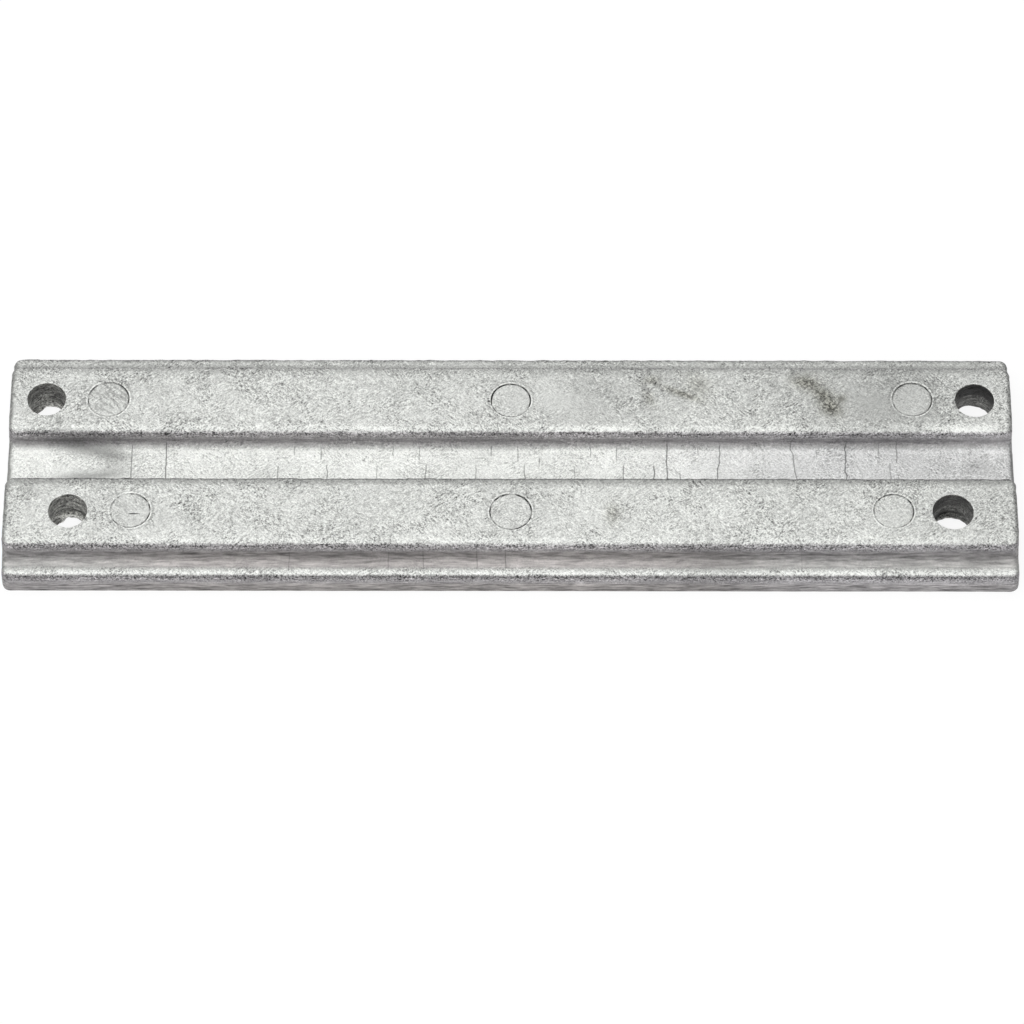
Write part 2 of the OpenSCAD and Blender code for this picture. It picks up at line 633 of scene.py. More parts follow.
    def stations(self) -> np.ndarray:
        """Places along the bar at which the section stands, closer together where the ends are rounded.

        Returns:
            Values of x, from the left end to the right one.
        """
        reach = self.corner_r + 0.3
        close = reach * (1.0 - np.cos(np.linspace(0.0, math.pi / 2.0, 9)))
        inner = self.end_x - reach
        middle = np.linspace(-inner, inner, round(2.0 * inner / self.station_step) + 1)
        return np.concatenate([close[:-1] - self.end_x, middle, self.end_x - close[-2::-1]])

    @staticmethod
    def _rounded_off(way: np.ndarray, radius: float) -> np.ndarray:
        """How far a round stands back at a way in from the end: r - sqrt(r^2 - (r - way)^2)."""
        short = np.clip(radius - way, 0.0, radius)
        return radius - np.sqrt(radius**2 - short**2)

    def skin(self) -> tuple[np.ndarray, np.ndarray]:
        """Carries the section along the bar and rounds it off at both ends.

        Near an end each wall draws in by the round of the bar's corners, and each level face sinks by the
        round of its edge. The draw is shared out over the level faces, so that none of them folds.

        Returns:
            The vertices' numbers by station and by point of the section, and their places.
        """
        path, section_normals = self.section()
        x = self.stations()[:, None]
        y, z = path[None, :, 0], path[None, :, 1]
        ny, nz = section_normals[None, :, 0], section_normals[None, :, 1]
        foot_y = self.ridge_in_y - self.groove_fillet_r - 0.1  # just past the fillet
        top_in_y, top_out_y = self.ridge_in_y + self.edge_r, self.ridge_out_y - self.edge_r
        knots = [0.0, foot_y, top_in_y, self.row_y, top_out_y, self.side]
        draw = np.sign(y) * np.interp(np.abs(y), knots, [0.0, 1.0, 1.0, 0.0, -1.0, -1.0])
        way = self.end_x - np.abs(x)
        y_in = y + draw * self._rounded_off(way, self.corner_r)
        z_in = z - np.where(z > 0.0, nz, 0.0) * self._rounded_off(way, self.end_edge_r)
        x_in = x - np.sign(x) * self.lean(z_in) * smooth_step(self.end_lean_way, 0.0, way)
        places = np.stack(np.broadcast_arrays(x_in, y_in, z_in), axis=-1)
        end_share = np.sign(x) * smooth_step(self.end_edge_r, 0.0, way)
        normals = np.stack(np.broadcast_arrays(end_share, ny, nz), axis=-1)
        normals /= np.linalg.norm(normals, axis=-1, keepdims=True)
        dull_foot = smooth_step(*self.dull_foot_z, z) * smooth_step(*self.dull_foot_y, np.abs(y))
        low = np.maximum(dull_foot * (y < -self.row_y), smooth_step(*self.dull_side_z, z))
        gap = self._way_to_edge(path)
        # A rough strip at each end, which is also painted dark as painted shade of the rounded end edge
        least, greatest = self.end_strip
        strip_in = least + (greatest - least) * np.clip(LatticeNoise(51, 2.4).at(places), 0.0, 1.0)
        near_end = smooth_step(1.0, 0.2, way / strip_in)
        ragged = np.maximum(smooth_step(*self.torn_way, gap), 0.6 * near_end)
        far_way, near_way = self.crown_way
        crown = nz**2 * np.clip((far_way - gap) / (far_way - near_way), 0.0, 1.0) ** 2
        groove = smooth_step(self.ridge_in_y, self.ridge_in_y - 1.2, np.abs(y))
        number = self.mesh.add(places, normals, end=near_end, upright=1.0 - nz**2, low=low, ragged=ragged,
                               crown=crown, groove=groove)
        return number, places

    def _way_to_edge(self, path: np.ndarray) -> np.ndarray:
        """Distance of each point of the section from the nearest edge that stands out.

        Args:
            path: The section's points (y, z).

        Returns:
            Distances in millimetres.
        """
        corners = np.array([[self.side - self.lean(self.base_t), self.base_t],
                            [self.ridge_out_y, self.top_z], [self.ridge_in_y, self.top_z]])
        folded = np.stack([np.abs(path[:, 0]), path[:, 1]], axis=1)
        return np.linalg.norm(folded[:, None] - corners[None], axis=-1).min(1)

    def window(self, grid: np.ndarray, places: np.ndarray, centre: tuple[float, float],
               half: float) -> tuple[tuple[slice, slice], np.ndarray]:
        """The rectangle of the skin's cells that a hole or mark takes the place of.

        Args:
            grid: The skin's vertex numbers.
            places: Their places.
            centre: Middle of the hole or mark.
            half: Half of the side that the rectangle should have.

        Returns:
            The cells as slices of the grid, and the vertex numbers round them, anticlockwise from above.
        """
        middle = places[len(places) // 2]
        i0, i1 = (int(np.abs(places[:, 0, 0] - centre[0] - way).argmin()) for way in (-half, half))
        j0, j1 = (int(np.abs(middle[:, 1] - centre[1] - way).argmin()) for way in (-half, half))
        rim = np.concatenate([grid[i0:i1, j0], grid[i1, j0:j1], grid[i1:i0:-1, j1], grid[i0, j1:j0:-1]])
        return (slice(i0, i1), slice(j0, j1)), rim

    def _rings(self, centre: tuple[float, float], rim: np.ndarray, radii: np.ndarray, heights: np.ndarray,
               rise: np.ndarray, spread: int) -> tuple[np.ndarray, np.ndarray, np.ndarray]:
        """Places of rings round a centre, and of the rows that carry the last ring out to a window's rim.

        Ring k is a circle of radii[k] at the height heights[k]. Each later row is a fixed share of the way
        from the last circle to the rim, along the spoke that ends at each vertex of the rim.

        Args:
            centre: Middle of the rings.
            rim: Vertex numbers of the window's rim.
            radii: Radius of each ring, from the inside out.
            heights: Height of each ring.
            rise: Angle by which each ring's normal rises from the way to the axis.
            spread: How many rows lie between the last ring and the rim.

        Returns:
            Places and normals by row and spoke, and the angle of each spoke.
        """
        edge = self.mesh.places[rim]
        turn = np.arctan2(edge[:, 1] - centre[1], edge[:, 0] - centre[0])
        spoke = np.stack([np.cos(turn), np.sin(turn), np.zeros(turn.size)], axis=-1)
        circles = np.array([*centre, 0.0]) + radii[:, None, None] * spoke + heights[:, None, None] * UP
        share = np.linspace(0.0, 1.0, spread + 2)[1:-1, None, None]
        outward = circles[-1] * (1.0 - share) + edge * share
        rise = np.append(rise, np.full(spread, math.pi / 2.0))[:, None, None]
        normals = UP * np.sin(rise) - spoke * np.cos(rise)
        return np.concatenate([circles, outward]), normals, turn

    def bolt_hole(self, hole: BoltHole, grid: np.ndarray,
                  places: np.ndarray) -> tuple[tuple[slice, slice], np.ndarray]:
        """Lets a hole into the skin: its flare at the back, its wall, its lip, and rows out to the window.

        The wall's radius grows a little with height. The flare narrows at 45 degrees until it meets the wall,
        and a narrow ring of the underside lies round it.

        Args:
            hole: Which hole.
            grid: The skin's vertex numbers.
            places: Their places.

        Returns:
            The cells that it takes the place of, and the vertex numbers round its ring in the underside.
        """
        centre = (hole.x, hole.row.value * self.row_y)
        cells, rim = self.window(grid, places, centre, self.hole_r + self.window_gap)
        curl = np.linspace(0.0, math.pi / 2.0, self.lip_points)
        wall_z = np.append(np.linspace(0.0, self.back_flare, self.flare_points),
                           np.linspace(self.back_flare, self.top_z - self.lip_r, self.bore_points)[1:-1])
        mouth_r = self.hole_r + hole.wider
        wall_r = mouth_r - hole.taper * (1.0 - wall_z / self.top_z)
        flare_r = self.hole_r + self.back_flare - wall_z
        radii = np.concatenate([[flare_r[0] + self.mouth_ring], np.maximum(wall_r, flare_r),
                                mouth_r + self.lip_r * (1.0 - np.cos(curl))])
        heights = np.concatenate([[0.0], wall_z, self.top_z - self.lip_r * (1.0 - np.sin(curl))])
        rise = np.concatenate([[-math.pi / 2.0], np.where(flare_r > wall_r, -math.pi / 4.0, 0.0), curl])
        spots, normals, turn = self._rings(centre, rim, radii, heights, rise, self.hole_spread)
        height = spots[..., 2]
        under = (np.arange(len(spots)) == 0).astype(float)[:, None]
        deep = smooth_step(self.top_z, self.top_z - 2.0 * self.lip_r, height) * (1.0 - under)
        lip = np.append(np.sin(2.0 * rise) * (rise > 0.0), np.zeros(self.hole_spread))[:, None]
        stands_out = hole.shelf * hole.shelf_share(turn, height)
        stands_out += hole.flash * deep * hole.flash_share(turn, height)
        number = self.mesh.add(spots + normals * stands_out[..., None], normals, bore=deep,
                               bore_tone=hole.tones_and_shade(turn, spots), ragged=0.35 * lip, rim=lip, under=under)
        self.mesh.quads(np.concatenate([number, rim[None]]), closed=True)
        return cells, number[0]

    def pin_mark(self, mark: PinMark, grid: np.ndarray, places: np.ndarray) -> tuple[slice, slice]:
        """Presses a mark into the skin: the sunk disc, the ring groove, the burr, and rows out to the window.

        The groove and the burr swell and fade round the ring, by the cosine of the way from the burr's turn
        and by a noise, and a fainter line runs outside the burr.

        Args:
            mark: Which mark.
            grid: The skin's vertex numbers.
            places: Their places.

        Returns:
            The cells that it takes the place of.
        """
        centre = (mark.x, mark.row.value * self.row_y + mark.y_shift)
        cells, rim = self.window(grid, places, centre, mark.radius + self.window_gap)
        way_out = np.array([-3.7, -2.8, -1.9, -1.1, -0.5, -0.22, 0.0, 0.18, 0.34, 0.52, 0.78])
        disc, groove = (way_out < 0.0).astype(float), (way_out == 0.0).astype(float)
        burr = np.interp(way_out, [0.0, 0.18, 0.34, 0.52, 0.78], [0.0, 0.8, 1.0, 0.4, 0.0])
        outline = np.interp(way_out, [0.34, 0.52, 0.78], [0.0, 0.4, 0.2])
        level = self.top_z - mark.sink * disc
        upwards = np.full(level.size, math.pi / 2.0)
        radii, spread = mark.radius + way_out, self.mark_spread
        spots, normals, turn = self._rings(centre, rim, radii, level, upwards, spread)
        turned = 0.5 + 0.5 * np.cos(turn - math.radians(mark.burr_turn))
        strong = np.clip(0.6 + 0.5 * turned + LatticeNoise(21, 1.0, 1.1).at(spots), 0.3, 1.6)
        burr, disc, groove, outline = (np.append(part, np.zeros(spread))[:, None]
                                       for part in (burr, disc, groove, outline))
        stands_out = mark.burr * burr * strong - mark.groove * groove * np.minimum(strong, 1.0)
        ring = (mark.darkness * groove + outline) * strong
        number = self.mesh.add(spots + stands_out[..., None] * UP, normals, disc=disc, ring=ring,
                               rim=burr * strong, scuffed=mark.scuffed * disc)
        pole = self.mesh.add(np.array([[*centre, level[0]]]), UP, disc=1.0, scuffed=mark.scuffed)
        self.mesh.quads(np.concatenate([number, rim[None]]), closed=True)
        inner = number[0]
        self.mesh.triangles(np.stack([np.full(inner.size, pole[0]), inner, np.roll(inner, -1)], axis=1))
        return cells

    def end_face(self, end: End, column: np.ndarray) -> np.ndarray:
        """Closes an end with a face that leans in as the walls do.

        Args:
            end: Which end.
            column: The skin's vertex numbers at that end, from the near foot to the far foot.

        Returns:
            Vertex numbers of the points along the face's foot, from near to far.
        """
        edge = self.mesh.places[column]
        foot_y = np.linspace(edge[0, 1], edge[-1, 1], self.foot_points)[1:-1]
        foot_x = np.full(foot_y.size, end.value * self.end_x)
        out = np.array([end.value, 0.0, 0.0])
        foot = self.mesh.add(np.column_stack([foot_x, foot_y, np.zeros(foot_y.size)]), out, end=1.0)
        loop = np.append(column, foot[::-1])
        inner, corners = fill_between([self.mesh.places[loop][:, 1:]], self.end_spacing)
        inner_x = end.value * (self.end_x - self.lean(inner[:, 1]))
        number = self.mesh.add(np.column_stack([inner_x, inner]), out, end=1.0)
        faces = np.append(loop, number)[corners]
        self.mesh.triangles(faces if end is End.RIGHT else faces[:, ::-1])
        return foot

    def underside(self, outline: np.ndarray, mouths: list[np.ndarray]) -> None:
        """Closes the bar's back with a level face.

        Args:
            outline: Vertex numbers round the bar's foot, anticlockwise from above.
            mouths: Vertex numbers round each hole's ring in it.
        """
        loops = [outline, *mouths]
        inner, corners = fill_between([self.mesh.places[loop][:, :2] for loop in loops], self.under_spacing)
        number = self.mesh.add(np.column_stack([inner, np.zeros(len(inner))]), -UP, under=1.0)
        faces = np.concatenate([*loops, number])[corners]
        self.mesh.triangles(faces[:, ::-1])

    def heat_line_masks(self, lines: list[HeatLine], places: np.ndarray) -> tuple[np.ndarray, np.ndarray]:
        """Where the points lie from the nearest heat line.

        The distance changes its sign from each line to the next, so that between two lines it runs over a
        hump with no jump, and on a line it runs straight through zero. A mesh far coarser than the line
        therefore still carries it exactly.

        Args:
            lines: The lines.
            places: Points in millimetres.

        Returns:
            Signed distance in millimetres and the nearest line's strength, one for each point.
        """
        lines = sorted(lines, key=lambda line: line.x)
        along, across = places[:, 0], places[:, 1]
        wave = LatticeNoise(41, 1.7, stretch=(0.15, 1.0, 0.0)).at(places)
        offset = np.stack([along - line.x - line.lean * across - line.wander * wave for line in lines])
        nearest = np.abs(offset).argmin(0)
        sign = 1.0 - 2.0 * (nearest % 2)
        y_low, y_high, force = np.array([(line.y_low, line.y_high, line.force) for line in lines])[nearest].T
        fade = self.line_fade
        within = smooth_step(-fade, fade, across - y_low) * smooth_step(-fade, fade, y_high - across)
        return sign * np.take_along_axis(offset, nearest[None], 0)[0], force * within

    def line_masks(self, places: np.ndarray) -> tuple[np.ndarray, np.ndarray]:
        """Where the points lie from the nearest line of any kind.

        The groove's heat lines count on the groove and both ridges, and the ledge's on the near ledge. Near
        a scratch the distance is that across the scratch.

        Args:
            places: Points in millimetres.

        Returns:
            Signed distance in millimetres and the line's strength, one for each point.
        """
        x, y, height = places.T
        in_groove = y > -self.ridge_out_y
        kinds = (self.heat_line_masks(lines, places) for lines in (self.groove_lines, self.ledge_lines))
        way, force = (np.where(in_groove, groove, ledge) for groove, ledge in zip(*kinds))
        fade = self.scratch_fade
        for scratch in self.scratches:
            near = smooth_step(1.6, 1.0, np.abs(y - scratch.y)) * (height > self.base_t - 0.5)
            near = near * smooth_step(-fade, fade, x - scratch.x_low)
            near = near * smooth_step(-fade, fade, scratch.x_high - x)
            way = np.where(near > 0.0, y - scratch.y, way)
            force = np.where(near > 0.0, scratch.force * near, force)
        return way, force

    def relief(self) -> np.ndarray:
        """The cast surface: how the true bar strays from its drawing.

        Every point moves along its normal by a sum of noise fields: a slow swell, lumps, sharper teeth along
        the edges that stand out, and roughness in the holes. Level faces fall off towards those edges, by
        the square of the way from where the fall begins. Chips and pits sink, and nodules stand out. Points
        on the foot keep their height.

        Returns:
            Final places of all points, none of them outside the bar's box.
        """
        places, normals = self.mesh.places, self.mesh.normals
        ragged, bore, groove, disc = (self.mesh.mask(name) for name in ("ragged", "bore", "groove", "disc"))
        swell = LatticeNoise(1, 23.0, 0.03).at(places)
        lumps = LatticeNoise(3, 2.7, 0.02).at(places) + LatticeNoise(4, 1.2, 0.01).at(places)
        teeth = LatticeNoise(7, 2.1, 0.1).at(places) + LatticeNoise(8, 0.85, 0.07).at(places)
        cored = LatticeNoise(11, 2.4, 0.08, (1.0, 1.0, 2.0)).at(places)
        cored += LatticeNoise(12, 0.9, 0.07).at(places)
        pits = covered(self.stains, places) * np.clip(LatticeNoise(15, 1.3).at(places), 0.0, 1.0)
        chipped = ragged * covered(self.chips, places)
        high = smooth_step(self.top_z - 1.6, self.top_z - 0.8, places[:, 2])
        height = swell - self.skin_depth * (1.0 - bore) - self.crown * self.mesh.mask("crown")
        height += lumps * (1.0 - 0.6 * groove) * (1.0 - 0.6 * disc)
        height += ragged * (1.0 + chipped) * teeth - self.chip_depth * chipped
        height += bore * cored * (1.0 + smooth_step(3.0, 1.5, places[:, 2]))
        height += self.nodule_height * high * summed(self.nodules, places) - self.stain_depth * pits
        height *= 1.0 - self.mesh.mask("under")
        moved = places + normals * height[:, None]
        moved[places[:, 2] == 0.0, 2] = 0.0
        return np.clip(moved, self.low, self.high)

    def pale_shares(self, places: np.ndarray) -> np.ndarray:
        """How pale the metal is painted at each point: by the kind of surface, with painted shade on walls,
        sides, ends and holes, by its painted shading strips and by its patches.

        Args:
            places: Points in millimetres, as drawn.

        Returns:
            Shares from 0 to 1.
        """
        tones_and_shade, mask = self.tones_and_shade, self.mesh.mask
        out, height = np.abs(places[:, 1]), places[:, 2]
        low = smooth_step(self.top_z - self.edge_r, self.base_t + 0.3, height)
        level = tones_and_shade.top + low * (np.where(out < self.row_y, tones_and_shade.groove, tones_and_shade.ledge) - tones_and_shade.top)
        # Walls and sides are darker than the level faces: painted shade
        wall = np.where(out < self.row_y, tones_and_shade.inner_wall, tones_and_shade.outer_wall)
        wall += smooth_step(self.side - 1.2, self.side - 0.5, out) * (tones_and_shade.side - wall)
        share = level + mask("upright") * (wall - level) + summed(tones_and_shade.shading_bands, places)
        # Ends are painted dark: painted shade of their rounded edges and faces
        share += mask("end") * (tones_and_shade.end - share)
        share *= 1.0 + summed(tones_and_shade.patches, places) * (1.0 - 0.35 * mask("disc"))
        share *= 1.0 - 0.05 * mask("disc")
        broken = LatticeNoise(52, 2.0, 0.3, (0.5, 1.0, 1.0)).at(places)
        share *= 1.0 + mask("ragged") * mask("upright") * broken
        high = smooth_step(self.top_z - 1.2, self.top_z - 0.6, height)
        # Hole lips and mark burrs are 0.3 paler: a painted highlight on these convex edges
        share += 0.3 * mask("rim") + 0.3 * high * summed(self.nodules, places)
        # Hole walls take their own paleness, which carries painted shade
        share += mask("bore") * (mask("bore_tone") - share)
        share += mask("under") * (tones_and_shade.under - share)
        return np.clip(share, 0.0, 1.0)

    def build(self) -> bpy.types.Object:
        """Builds the whole bar as one closed mesh. Nothing that lies on top shows on the underside.

        Returns:
            The bar's object.
        """
        grid, places = self.skin()
        keep = np.ones(np.array(grid.shape) - 1, bool)
        mouths = []
        for hole in self.holes:
            cells, mouth = self.bolt_hole(hole, grid, places)
            keep[cells] = False
            mouths.append(mouth)
        for mark in self.marks:
            keep[self.pin_mark(mark, grid, places)] = False
        self.mesh.quads(grid, keep=keep)
        left, right = self.end_face(End.LEFT, grid[0]), self.end_face(End.RIGHT, grid[-1])
        self.underside(np.concatenate([grid[:, 0], right, grid[::-1, -1], left[::-1]]), mouths)
        everywhere = self.mesh.places
        above = smooth_step(3.0, 4.5, everywhere[:, 2])
        way, force = self.line_masks(everywhere)
        self.mesh.set_mask("line_way", way)
        self.mesh.set_mask("line_force", above * force)
        for name, patches in (("stain", self.stains), ("worn", self.worn), ("beaded", self.beads)):
            self.mesh.set_mask(name, above * covered(patches, everywhere))
        self.mesh.set_mask("tone", self.pale_shares(everywhere))
        return self.mesh.to_object("cast_bar", self.relief(), self.crease)


class Wire:
    """An output in a shader tree. Arithmetic on it adds Math nodes to the tree."""

    def __init__(self, tree: "ShaderTree", socket: bpy.types.NodeSocket) -> None:
        """Wraps a socket."""
        self.tree = tree
        self.socket = socket

    def __add__(self, other: "Wire | float") -> "Wire":
        """Adds."""
        return self.tree.maths("ADD", self, other)

    def __sub__(self, other: "Wire | float") -> "Wire":
        """Subtracts."""
        return self.tree.maths("SUBTRACT", self, other)

    def __rsub__(self, other: float) -> "Wire":
        """Subtracts from a number."""
        return self.tree.maths("SUBTRACT", other, self)

    def __mul__(self, other: "Wire | float") -> "Wire":
        """Multiplies."""
        return self.tree.maths("MULTIPLY", self, other)

    def __abs__(self) -> "Wire":
        """Drops the sign."""
        return self.tree.maths("ABSOLUTE", self)

    __radd__ = __add__
    __rmul__ = __mul__

    def at_least(self, other: "Wire | float") -> "Wire":
        """The greater of the two."""
        return self.tree.maths("MAXIMUM", self, other)

    def at_most(self, other: "Wire | float") -> "Wire":
        """The smaller of the two."""
        return self.tree.maths("MINIMUM", self, other)

    def rise(self, low: float, high: float) -> "Wire":
        """Rises smoothly from 0 at low to 1 at high, or falls where low is above high.

        Args:
            low: Where the result is 0.
            high: Where it is 1.

        Returns:
            The result, which stays at 0 or 1 past either.
        """
        start, end = (0.0, 1.0) if low < high else (1.0, 0.0)
        inputs = {"Value": self, "From Min": min(low, high), "From Max": max(low, high), "To Min": start,
                  "To Max": end}
        return self.tree.node("ShaderNodeMapRange", {"interpolation_type": "SMOOTHSTEP"}, inputs)


class ShaderTree:
    """A material and the few ways in which nodes are added to it."""

    def __init__(self, name: str) -> None:
        """Makes an empty material.

        Args:
            name: Name of the material.
        """
        self.material = bpy.data.materials.new(name)
        self.material.use_nodes = True
        self.material.node_tree.nodes.clear()

    def node(self, kind: str, settings: dict | None = None, inputs: dict | None = None,
             output: int | str = 0) -> Wire:
        """Adds a node.

        Args:
            kind: Type of the node.
            settings: Its own properties, which are set first.
            inputs: Values or wires of its sockets, by name or number.
            output: Which of its outputs is meant.

        Returns:
            That output.
        """
        made = self.material.node_tree.nodes.new(kind)
        for name, value in (settings or {}).items():
            setattr(made, name, value)
        for name, value in (inputs or {}).items():
            if isinstance(value, Wire):
                self.material.node_tree.links.new(value.socket, made.inputs[name])
            else:
                made.inputs[name].default_value = value
        return Wire(self, made.outputs[output] if made.outputs else None)

    def maths(self, operation: str, *values: Wire | float) -> Wire:
        """Adds a Math node."""
        return self.node("ShaderNodeMath", {"operation": operation}, dict(enumerate(values)))

    def mask(self, name: str) -> Wire:
        """Reads one of the mesh's masks."""
        return self.node("ShaderNodeAttribute", {"attribute_name": name}, output="Fac")

    def stretched(self, places: Wire, scale: tuple[float, float, float]) -> Wire:
        """Multiplies places by a number for each axis."""
        return self.node("ShaderNodeVectorMath", {"operation": "MULTIPLY"}, {0: places, 1: scale})

    def turned(self, places: Wire, angle: float) -> Wire:
        """Turns places about the z axis, by an angle in radians."""
        inputs = {"Vector": places, "Angle": angle}
        return self.node("ShaderNodeVectorRotate", {"rotation_type": "Z_AXIS"}, inputs)

    def slanted(self, places: Wire, angle: float, squeeze: float) -> Wire:
        """Turns places about the z axis and squeezes them along x, for streaks that run at a slant."""
        return self.stretched(self.turned(places, angle), (squeeze, 1.0, 1.0))

    def noise(self, places: Wire, scale: float, detail: float = 2.0, roughness: float = 0.5,
              distortion: float = 0.0) -> Wire:
        """Adds a Noise Texture.

        Args:
            places: Where it is read.
            scale: Flecks in a unit of those places.
            detail: How many finer noises are laid over the first.
            roughness: How strong these are.
            distortion: How far the flecks are bent.

        Returns:
            Its values, from about 0.2 to 0.8.
        """
        inputs = {"Vector": places, "Scale": scale, "Detail": detail, "Roughness": roughness,
                  "Distortion": distortion}
        return self.node("ShaderNodeTexNoise", None, inputs, "Fac")

    def scaled(self, colour: Wire, share: Wire) -> Wire:
        """Multiplies a colour by a number."""
        return self.node("ShaderNodeVectorMath", {"operation": "SCALE"}, {"Vector": colour, "Scale": share})

    def mix(self, share: Wire | float, first: Wire | tuple, second: Wire | tuple) -> Wire:
        """Mixes two colours, from the first at share 0 to the second at share 1."""
        first, second = (value if isinstance(value, Wire) else (*value, 1.0) for value in (first, second))
        return self.node("ShaderNodeMix", {"data_type": "RGBA"}, {0: share, 6: first, 7: second}, 2)

    def finish(self, inputs: dict) -> None:
        """Ends the tree in a Principled shader with these inputs."""
        shader = self.node("ShaderNodeBsdfPrincipled", None, inputs)
        self.node("ShaderNodeOutputMaterial", None, {"Surface": shader})


@dataclass(frozen=True)
class CastFinish:
    """As-cast grey metal: bright grain on top, violet-grey walls and streaked holes, with walls and holes
    painted dark as shade through the mesh's paleness mask.
    """

    level: tuple[float, float, float] = (0.985, 1.0, 0.965)
    wall: tuple[float, float, float] = (1.0, 0.965, 0.985)
    cool: tuple[float, float, float] = (0.97, 0.955, 1.0)
    warm: tuple[float, float, float] = (1.0, 0.945, 0.925)
    bore: tuple[float, float, float] = (1.0, 1.0, 0.95)
    stain: tuple[float, float, float] = (0.87, 0.87, 0.77)

    def build(self) -> bpy.types.Material:
        """Builds the material.

        Its colour is a tint times a share of white: the mesh's paleness mask, which carries painted shade and
        highlights, times the flecks of the grain, the streaks of drawn walls and cored holes, and what spoils
        the skin. The same noises raise the bump.

        Returns:
            The material.
        """
        tree = ShaderTree("cast_metal")
        metres = tree.node("ShaderNodeTexCoord", output="Object")
        places = tree.stretched(metres, (1.0 / MM,) * 3)
        names = "upright ragged groove bore ring disc stain worn scuffed tone low beaded line_way line_force"
        (upright, ragged, groove, bore, ring, disc, stain, worn, scuffed, tone, low, beaded, line_way,
         line_force) = map(tree.mask, names.split())

        # Grain, in strokes that rise on some patches and fall on others
        fine = tree.noise(places, 3.1, 2.0, 0.6, 0.6) - 0.5
        grain = tree.noise(places, 1.3, 3.0, 0.6, 0.4) - 0.5
        blend = tree.noise(places, 0.25).rise(0.42, 0.58)
        rising, falling = (tree.noise(tree.slanted(places, angle, 0.42), 2.9, distortion=0.5) - 0.5
                           for angle in (0.75, -0.65))
        stroke = rising * blend + falling * (1.0 - blend)
        mottle = tree.noise(places, 0.4, 3.0) - 0.5
        cloud = tree.noise(places, 0.09) - 0.5
        drawn = tree.noise(tree.stretched(places, (0.12, 1.0, 1.0)), 2.2, 3.0, 0.6) - 0.5
        turned = tree.noise(tree.stretched(places, (0.3, 0.3, 1.0)), 1.1, 3.0, 0.6, 0.5) - 0.5
        patchy = tree.noise(places, 0.13, distortion=0.8).rise(0.4, 0.62)

        # Single marks
        worm = abs(tree.noise(places, 1.7, 1.0, 0.4, 1.0) - 0.5).rise(0.035, 0.01) * grain.rise(0.0, 0.12)
        vein = abs(tree.noise(places, 0.3, 1.0, 0.4, 1.5) - 0.5).rise(0.012, 0.003) * mottle.rise(-0.05, 0.1)
        line = abs(line_way).rise(0.2, 0.05) * line_force
        pits = tree.noise(places, 1.2, 3.0, 0.7, 0.6).rise(0.47, 0.55) * stain
        bead = tree.node("ShaderNodeTexVoronoi", None, {"Vector": places, "Scale": 0.85}, "Distance")
        lump = bead.rise(0.42, 0.2) * beaded
        outline = bead.rise(0.26, 0.36) * bead.rise(0.5, 0.4) * beaded
        dark_spot = tree.noise(places, 1.05, distortion=0.5).rise(0.6, 0.72)
        pale_spot = tree.noise(places, 1.35, distortion=0.5).rise(0.58, 0.7)
        scuff = tree.noise(tree.slanted(places, 0.8, 0.3), 1.5).rise(0.5, 0.62) * scuffed

        # Share of white
        calm = (1.0 - 0.35 * groove) * (1.0 - 0.3 * disc) * (1.0 - 0.65 * worn) * (1.0 - 0.75 * low)
        torn = ragged * upright
        force = calm * (0.72 + 0.55 * patchy) * (1.0 - 0.4 * (upright - torn)) + 1.3 * torn + 0.8 * bore
        fleck = 1.0 + force * (2.3 * fine + 2.1 * stroke + 0.8 * grain + 0.2 * pale_spot - 0.15 * dark_spot)
        # Pale spots on level faces near edges: painted glints
        fleck = fleck + 0.25 * (ragged - torn) * pale_spot + 0.25 * mottle + 0.35 * cloud
        fleck = fleck + calm * (0.1 * vein - 0.22 * worm)
        streak = 1.0 + drawn * (1.6 * upright.at_least(low) + 1.8 * upright * low) + 4.0 * turned * bore
        spoilt = (1.0 - 0.7 * line) * (1.0 - 0.85 * ring) * (1.0 - 0.75 * pits) * (1.0 - 0.35 * scuff)
        spoilt = spoilt * (1.0 + (0.15 + 0.7 * upright) * lump - 0.3 * outline) * (1.0 - 0.13 * stain)
        # The paleness mask brings the painted shade and highlights into the colour
        share = (tone * fleck * streak.at_least(0.15) * spoilt).at_most(1.0).at_least(0.01)

        # Tint
        along = tree.node("ShaderNodeSeparateXYZ", None, {"Vector": places}, "X")
        tint = tree.mix(upright, self.level, self.wall)
        tint = tree.mix(0.35 * along.rise(10.0, 70.0) * upright.at_least(groove), tint, self.cool)
        tint = tree.mix(low * (1.0 - 0.6 * abs(along + 17.0).rise(45.0, 80.0)), tint, self.warm)
        tint = tree.mix(bore, tint, self.bore)
        tint = tree.mix(stain, tint, self.stain)

        # Relief
        height = (calm * (0.8 + 0.5 * patchy) + 0.9 * torn) * (0.12 * fine + 0.16 * stroke + 0.16 * grain)
        height = height + 0.12 * mottle * calm + 0.25 * turned * bore + 0.2 * lump
        height = height - 0.02 * line - 0.08 * pits - 0.02 * worm - 0.03 * scuff
        normal = tree.node("ShaderNodeBump", None, {"Strength": 1.0, "Distance": MM, "Height": height})
        tree.finish({"Base Color": tree.scaled(tint, share), "Metallic": 0.35,
                     "Roughness": 0.5 - 0.06 * groove + 0.1 * upright + 0.25 * fine, "Normal": normal})
        return tree.material


